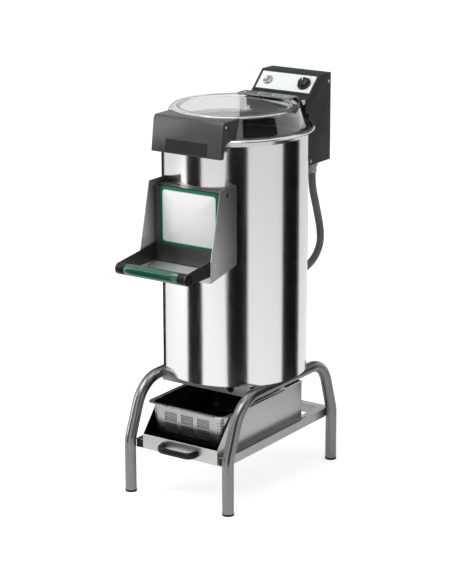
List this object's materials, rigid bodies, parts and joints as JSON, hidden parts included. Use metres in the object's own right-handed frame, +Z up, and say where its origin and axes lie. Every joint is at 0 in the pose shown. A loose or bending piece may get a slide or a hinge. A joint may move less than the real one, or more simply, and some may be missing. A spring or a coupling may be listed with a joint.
{
  "type": "electric potato peeler",
  "caption": "Upright electric potato peeler: abrasive turntable in a steel drum on a bent-tube stand, clear lid, discharge door, rear control box and filter drawer.",
  "frame": {"origin": "on the floor, in the middle of the four leg tubes", "axes": "+Z up; -Y towards the front, where the discharge door and the drawer handle are; +X to the right as seen from the front"},
  "size_m": [0.4339, 0.731, 1.11],
  "materials": {
    "stand_steel": "brushed",
    "drum_steel": "polished sheet",
    "sheet_steel": "brushed sheet",
    "cap_rubber": "matte",
    "abrasive": "coarse grit",
    "cast_aluminium": "cast",
    "machined_steel": "machined",
    "cast_iron": "cast",
    "motor_paint": "satin paint",
    "belt_rubber": "matte",
    "clear_plastic": "clear moulded plastic",
    "cover_black": "fine grain",
    "box_black": "textured powder coat",
    "label_green": "printed film",
    "grip_green": "glossy",
    "black_gloss": "glossy",
    "conduit_plastic": "corrugated",
    "brass_fitting": "machined",
    "gland_grey": "moulded"
  },
  "bodies": {
    "stand": {"abrasive_lining": "abrasive", "base_plate": "sheet_steel", "bearing_housing": "cast_aluminium", "box_back_cover": "box_black", "box_spacers": "sheet_steel", "button_bezel": "machined_steel", "cable_grommet": "cap_rubber", "chamber_floor": "sheet_steel", "chute_floor": "sheet_steel", "conduit": "conduit_plastic", "conduit_glands": "gland_grey", "control_box": "box_black", "control_panel": "label_green", "cross_plates": "sheet_steel", "door_hinge_pins": "machined_steel", "drain_spout": "sheet_steel", "drive_belt": "belt_rubber", "drum_rim": "drum_steel", "drum_shell": "drum_steel", "electrical_units": "black_gloss", "left_chute_cheek": "sheet_steel", "left_leg_arch": "stand_steel", "left_shelf_rail": "stand_steel", "lid_hinge_ears": "box_black", "lid_hinge_pin": "machined_steel", "lid_switch": "black_gloss", "motor_body": "motor_paint", "motor_plate": "sheet_steel", "mouth_seal": "cap_rubber", "plate_posts": "machined_steel", "rear_shelf_rail": "stand_steel", "right_chute_cheek": "sheet_steel", "right_leg_arch": "stand_steel", "right_shelf_rail": "stand_steel", "shaft_bearings": "machined_steel", "shaft_seal": "cap_rubber", "stand_screws": "machined_steel", "tube_caps": "cap_rubber", "water_inlet": "brass_fitting"},
    "lid": {"lid_shell": "clear_plastic", "lid_cover": "cover_black", "lid_pad": "cover_black", "lid_hinge_strap": "sheet_steel"},
    "discharge_door": {"door_panel": "sheet_steel", "door_label": "label_green", "door_arms": "sheet_steel", "handle_grip": "grip_green", "handle_ends": "black_gloss"},
    "rotor": {"turntable": "cast_aluminium", "turntable_grit": "abrasive", "turntable_cap": "machined_steel", "main_shaft": "machined_steel", "driven_pulley": "cast_iron"},
    "motor_rotor": {"motor_shaft": "machined_steel", "motor_pulley": "cast_iron"},
    "timer_knob": {"timer_knob": "black_gloss"},
    "start_button": {"start_button": "black_gloss"},
    "drawer": {"drawer_box": "sheet_steel", "drawer_handle": "black_gloss"},
    "filter_pan": {"filter_pan": "sheet_steel"}
  },
  "joints": [
    {"name": "lid_hinge", "type": "hinge", "parent": "stand", "child": "lid", "pos_m": [0, 0.208, 1.046], "axis": [1, 0, 0], "range_deg": [-90, 0]},
    {"name": "door_hinge", "type": "hinge", "parent": "stand", "child": "discharge_door", "pos_m": [0, -0.1985, 0.866], "axis": [1, 0, 0], "range_deg": [-78, 0]},
    {"name": "turntable_spin", "type": "hinge", "parent": "stand", "child": "rotor", "pos_m": [0, 0.012, 0.6], "axis": [0, 0, 1], "continuous": true},
    {"name": "motor_spin", "type": "hinge", "parent": "stand", "child": "motor_rotor", "pos_m": [-0.07354, 0.08554, 0.5], "axis": [0, 0, 1], "continuous": true},
    {"name": "timer_turn", "type": "hinge", "parent": "stand", "child": "timer_knob", "pos_m": [0.06, 0.268, 1.08375], "axis": [0, -0.6971, 0.717], "range_deg": [-270, 0]},
    {"name": "start_press", "type": "slide", "parent": "stand", "child": "start_button", "axis": [0, 0.6971, -0.717], "range_m": [0, 0.003], "stiffness_N_per_m": 400, "springref_m": -0.001},
    {"name": "drawer_slide", "type": "slide", "parent": "stand", "child": "drawer", "axis": [0, -1, 0], "range_m": [0, 0.33]},
    {"name": "pan_lift", "type": "slide", "parent": "drawer", "child": "filter_pan", "axis": [0, 0, 1], "range_m": [0, 0.03]}
  ],
  "couplings": [
    {"joint": "motor_spin", "follows": "turntable_spin", "ratio": 2.6087}
  ]
}
